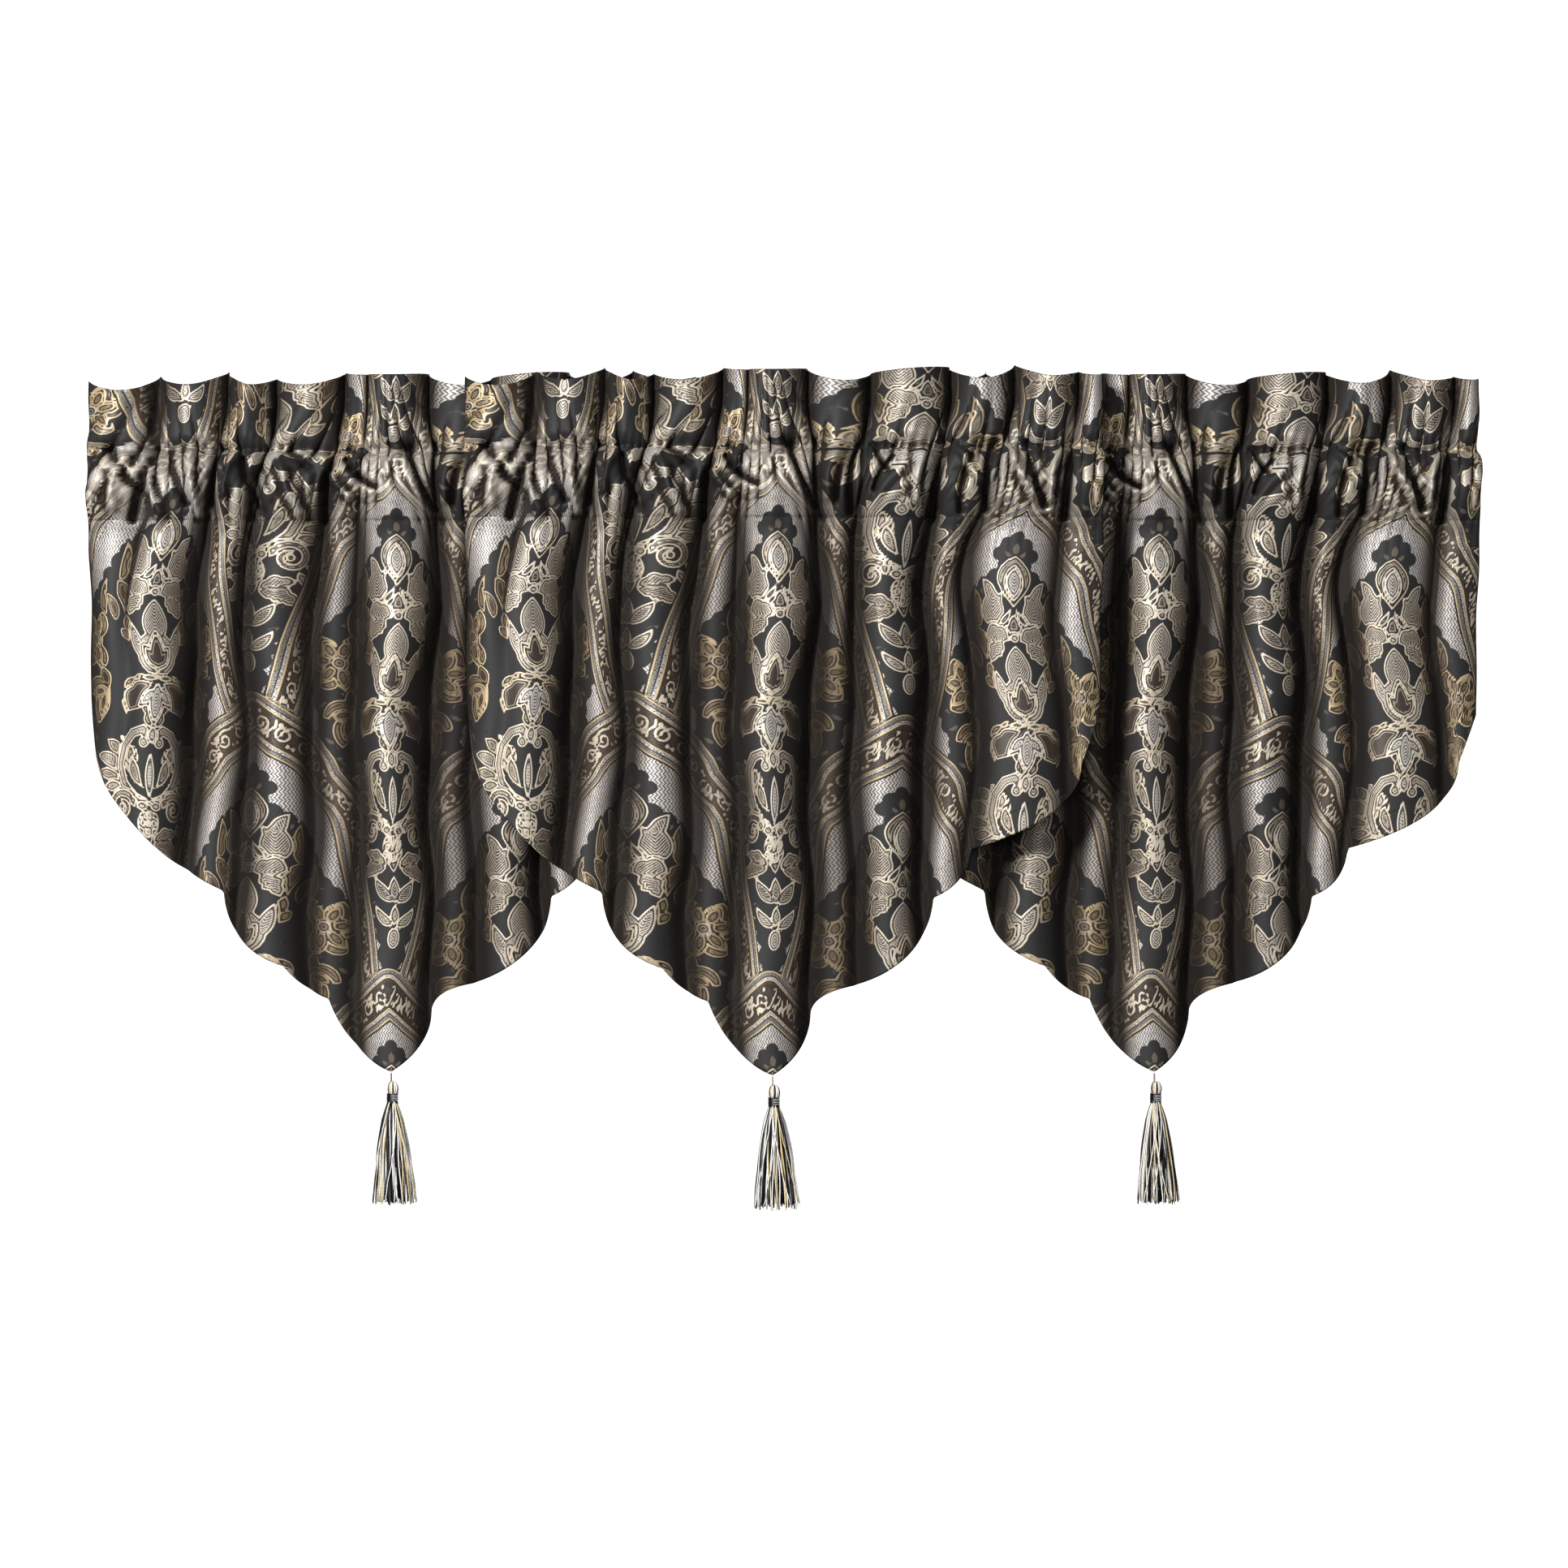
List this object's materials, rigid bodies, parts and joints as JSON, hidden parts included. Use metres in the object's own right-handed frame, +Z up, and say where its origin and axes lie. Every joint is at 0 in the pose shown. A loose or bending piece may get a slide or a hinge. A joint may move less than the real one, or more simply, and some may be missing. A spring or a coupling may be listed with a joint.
{
  "type": "window valance set",
  "caption": "Overlapping gathered ascot window valances with ruffled headings, open rod pockets, pointed scalloped hems and a tassel at each point.",
  "frame": {"origin": "on the cloth's mean plane at the nominal top edge of the middle valance, straight above the point of its hem", "axes": "+X along the valances to the viewer's right, +Y from the room towards the window, +Z up"},
  "size_m": [1.02, 0.0845, 0.6125],
  "materials": {
    "cloth": "lustrous black, silver and gold damask weave",
    "facing": "reverse side of the damask weave",
    "yarn": "black, silver and gold rayon yarn",
    "wrap": "black silky thread",
    "thread": "pale sewing thread"
  },
  "bodies": {
    "root": {"left_panel": "cloth", "left_facing": "facing", "left_loop": "thread", "left_tassel": "yarn", "left_wrap": "wrap", "middle_panel": "cloth", "middle_facing": "facing", "middle_loop": "thread", "middle_tassel": "yarn", "middle_wrap": "wrap", "right_panel": "cloth", "right_facing": "facing", "right_loop": "thread", "right_tassel": "yarn", "right_wrap": "wrap"}
  },
  "joints": []
}
